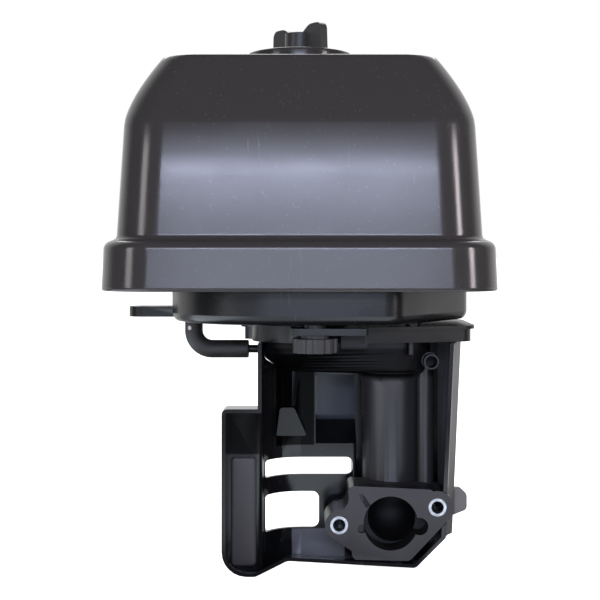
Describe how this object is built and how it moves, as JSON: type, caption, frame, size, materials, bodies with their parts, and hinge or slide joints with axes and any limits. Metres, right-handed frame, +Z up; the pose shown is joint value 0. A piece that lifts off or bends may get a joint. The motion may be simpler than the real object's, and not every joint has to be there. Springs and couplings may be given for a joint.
{
  "type": "air filter housing",
  "caption": "Small engine air cleaner: brimmed cover over a foam and paper element, base pan, intake elbow with carburettor flange, lever shield and breather hose.",
  "frame": {"origin": "centre of the carburettor bore on the flange face", "axes": "+Z up along the cover stud, +Y into the carburettor bore, +X to the right of the flange"},
  "size_m": [0.2176, 0.144, 0.3211],
  "materials": {
    "satin_plastic": "satin moulded",
    "gloss_plastic": "glossy moulded",
    "seal_rubber": "moulded",
    "hose_rubber": "matte",
    "cap_rubber": "cast",
    "zinc_steel": "zinc plated",
    "filter_paper": "resin-treated",
    "filter_foam": "open-cell foam",
    "brass": "turned"
  },
  "bodies": {
    "root": {"base_pan": "gloss_plastic", "pan_seal": "seal_rubber", "intake_elbow": "gloss_plastic", "carb_shield": "gloss_plastic", "stud_collars": "zinc_steel", "cover_stud": "zinc_steel", "stud_nuts": "zinc_steel", "breather_hose": "hose_rubber", "clamp_stud": "zinc_steel", "pan_screws": "zinc_steel", "shield_screws": "zinc_steel"},
    "element": {"element_pleats": "filter_paper", "element_top_cap": "cap_rubber", "element_bottom_cap": "cap_rubber", "element_core": "zinc_steel", "element_seal": "seal_rubber", "element_washer": "zinc_steel"},
    "wing_nut": {"element_wing_nut": "zinc_steel"},
    "foam": {"foam_sleeve": "filter_foam"},
    "cover": {"cover": "satin_plastic", "cover_grommet": "seal_rubber"},
    "knob": {"cover_knob": "gloss_plastic", "knob_insert": "brass", "knob_washer": "zinc_steel"},
    "clamp_nut": {"clamp_nut": "gloss_plastic", "clamp_insert": "brass"}
  },
  "joints": [
    {"name": "element_lift", "type": "slide", "parent": "root", "child": "element", "axis": [0, 0, 1], "range_m": [0, 0.115]},
    {"name": "foam_lift", "type": "slide", "parent": "element", "child": "foam", "axis": [0, 0, 1], "range_m": [0, 0.112]},
    {"name": "cover_lift", "type": "slide", "parent": "foam", "child": "cover", "axis": [0, 0, 1], "range_m": [0, 0.15]},
    {"name": "knob_turn", "type": "hinge", "parent": "cover", "child": "knob", "pos_m": [-0.051, 0.032, 0.268], "axis": [0, 0, 1], "continuous": true},
    {"name": "wing_nut_turn", "type": "hinge", "parent": "element", "child": "wing_nut", "pos_m": [-0.051, 0.032, 0.218], "axis": [0, 0, 1], "continuous": true},
    {"name": "clamp_nut_turn", "type": "hinge", "parent": "root", "child": "clamp_nut", "pos_m": [-0.0425, -0.008, 0.1], "axis": [0, 0, 1], "continuous": true}
  ]
}
